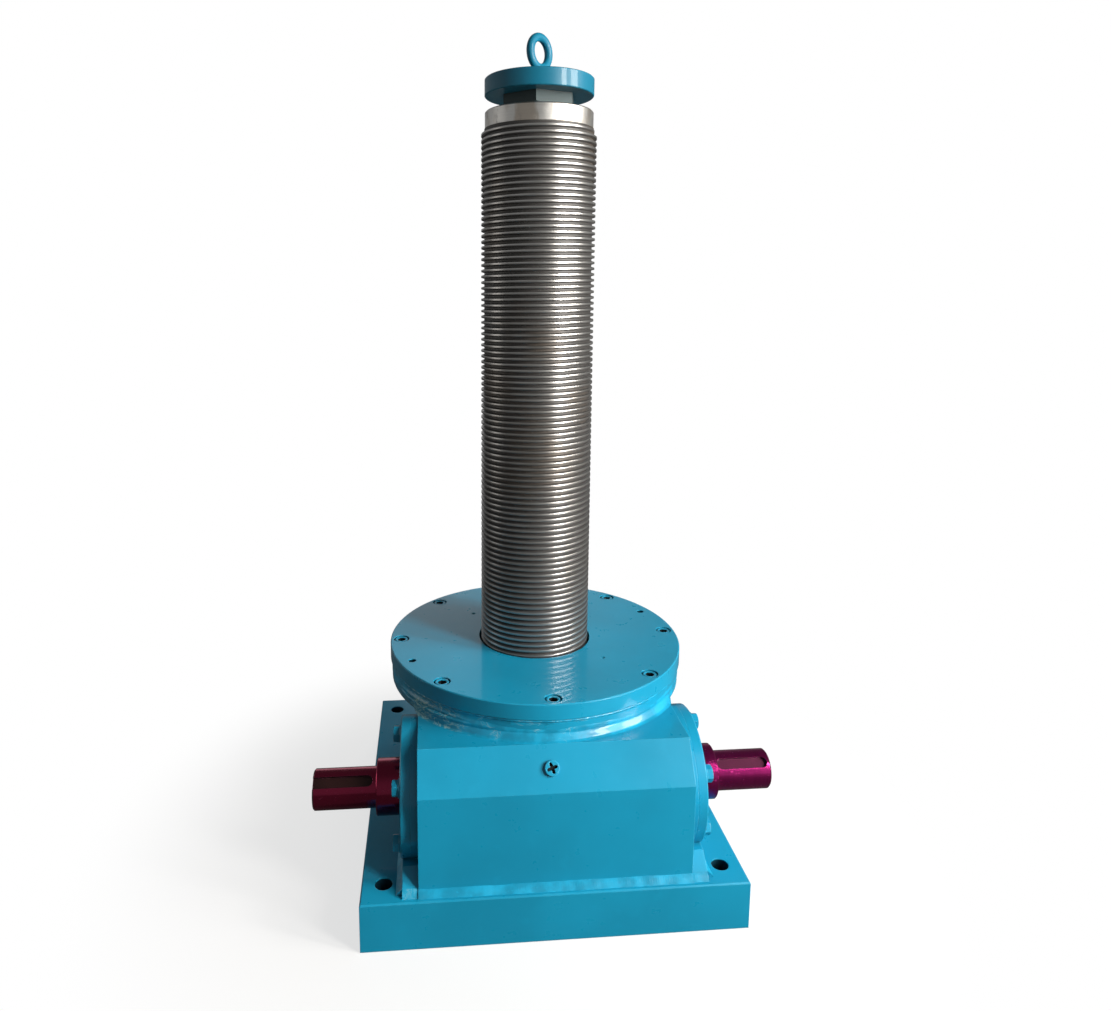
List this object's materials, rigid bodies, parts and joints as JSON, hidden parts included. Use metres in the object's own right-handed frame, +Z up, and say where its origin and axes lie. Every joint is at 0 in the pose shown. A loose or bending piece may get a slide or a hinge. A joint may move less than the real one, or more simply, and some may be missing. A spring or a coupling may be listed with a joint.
{
  "type": "worm screw jack",
  "caption": "Heavy worm screw jack: an upright lifting screw with a round top plate and eye rises through a bolted round cover on a welded gear housing with keyed input shafts at both sides.",
  "frame": {"origin": "where the lifting screw's axis meets the underside of the base plate", "axes": "+Z up along the lifting screw, +X to the right along the worm shaft as seen from the front, -Y towards the front, the side that the worm shaft lies on"},
  "size_m": [0.774, 0.64, 1.438],
  "materials": {
    "turquoise_paint": "gloss",
    "crimson_lacquer": "gloss",
    "screw_steel": "satin",
    "bright_steel": "satin",
    "bearing_steel": "polished",
    "dark_steel": "satin",
    "bronze": "satin",
    "seal_rubber": "matte"
  },
  "bodies": {
    "gearbox": {"base_plate": "turquoise_paint", "gear_housing": "turquoise_paint", "weld_beads": "turquoise_paint", "top_cover": "turquoise_paint", "cover_screws": "dark_steel", "grease_screws": "dark_steel", "guide_bush": "bronze", "wiper_ring": "seal_rubber", "filler_plug": "dark_steel", "left_bearing_cover": "turquoise_paint", "right_bearing_cover": "turquoise_paint", "left_cover_bolts": "turquoise_paint", "right_cover_bolts": "turquoise_paint", "left_shaft_seal": "seal_rubber", "right_shaft_seal": "seal_rubber", "left_bearing_cup": "bearing_steel", "right_bearing_cup": "bearing_steel", "lower_thrust_washer": "bearing_steel", "lower_thrust_cage": "bronze", "lower_thrust_balls": "bearing_steel", "upper_thrust_washer": "bearing_steel"},
    "wheel": {"worm_wheel": "bronze", "lower_wheel_washer": "bearing_steel", "upper_wheel_washer": "bearing_steel", "upper_thrust_cage": "bronze", "upper_thrust_balls": "bearing_steel"},
    "worm": {"worm_shaft": "crimson_lacquer", "left_bearing_cone": "bearing_steel", "right_bearing_cone": "bearing_steel", "left_bearing_rollers": "bearing_steel", "right_bearing_rollers": "bearing_steel", "left_roller_cage": "bearing_steel", "right_roller_cage": "bearing_steel"},
    "screw": {"lifting_screw": "screw_steel", "stop_collar": "dark_steel", "stop_screws": "dark_steel", "lock_nut": "bright_steel", "top_plate": "turquoise_paint", "eye_bolt": "turquoise_paint"}
  },
  "joints": [
    {"name": "worm_spin", "type": "hinge", "parent": "gearbox", "child": "worm", "pos_m": [0, -0.19, 0.184], "axis": [1, 0, 0], "range_deg": [-907200, 40320]},
    {"name": "wheel_spin", "type": "hinge", "parent": "gearbox", "child": "wheel", "pos_m": [0, 0, 0.184], "axis": [0, 0, 1], "continuous": true},
    {"name": "screw_slide", "type": "slide", "parent": "gearbox", "child": "screw", "axis": [0, 0, 1], "range_m": [-0.9005, 0.0405]}
  ],
  "couplings": [
    {"joint": "wheel_spin", "follows": "worm_spin", "ratio": -0.035714},
    {"joint": "screw_slide", "follows": "worm_spin", "m_per_rad": 0.000056841}
  ]
}
